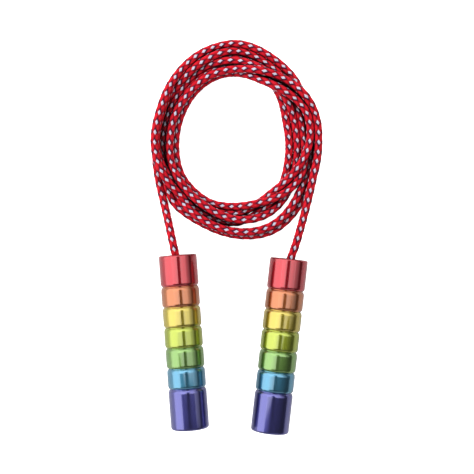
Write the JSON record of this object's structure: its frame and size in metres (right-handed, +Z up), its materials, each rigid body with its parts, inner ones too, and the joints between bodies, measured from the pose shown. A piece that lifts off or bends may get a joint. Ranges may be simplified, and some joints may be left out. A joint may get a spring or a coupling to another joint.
{
  "type": "jump rope",
  "caption": "Jump rope with a red braided cord in a loose coil and a rainbow-banded handle that turns on each end.",
  "frame": {"origin": "on the floor under the middle of the two handles", "axes": "+Y from the handles towards the coil, nearly along both handles; +Z up from the floor; +X to the right with the coil at the top"},
  "size_m": [0.139, 0.3188, 0.0305],
  "materials": {
    "red_band": "gloss, dyed anodised",
    "orange_band": "gloss, dyed anodised",
    "yellow_band": "gloss, dyed anodised",
    "lime_band": "gloss, dyed anodised",
    "green_band": "gloss, dyed anodised",
    "blue_band": "gloss, dyed anodised",
    "violet_band": "gloss, dyed anodised",
    "core": "raw",
    "bush": "matte",
    "washer": "zinc plated",
    "rope": "braided, with white and navy tracers"
  },
  "bodies": {
    "rope": {"rope_coil": "rope", "left_rope_knot": "rope", "left_rope_lead": "rope", "right_rope_knot": "rope", "right_rope_lead": "rope"},
    "left_washer": {"left_stop_washer": "washer"},
    "left_handle": {"left_rope_collar": "red_band", "left_orange_ring": "orange_band", "left_yellow_ring": "yellow_band", "left_lime_ring": "lime_band", "left_green_ring": "green_band", "left_blue_ring": "blue_band", "left_end_cap": "violet_band", "left_core_rod": "core", "left_rope_bush": "bush"},
    "right_washer": {"right_stop_washer": "washer"},
    "right_handle": {"right_rope_collar": "red_band", "right_orange_ring": "orange_band", "right_yellow_ring": "yellow_band", "right_lime_ring": "lime_band", "right_green_ring": "green_band", "right_blue_ring": "blue_band", "right_end_cap": "violet_band", "right_core_rod": "core", "right_rope_bush": "bush"}
  },
  "joints": [
    {"name": "left_knot_slide", "type": "slide", "parent": "rope", "child": "left_washer", "axis": [-0.0732, 0.9973, 0], "range_m": [0, 0.003]},
    {"name": "left_handle_spin", "type": "hinge", "parent": "left_washer", "child": "left_handle", "pos_m": [-0.045, 0.072, 0.01525], "axis": [0.0732, -0.9973, 0], "continuous": true},
    {"name": "right_knot_slide", "type": "slide", "parent": "rope", "child": "right_washer", "axis": [0.1123, 0.9937, 0], "range_m": [0, 0.003]},
    {"name": "right_handle_spin", "type": "hinge", "parent": "right_washer", "child": "right_handle", "pos_m": [0.0448, 0.0688, 0.01525], "axis": [-0.1123, -0.9937, 0], "continuous": true}
  ]
}
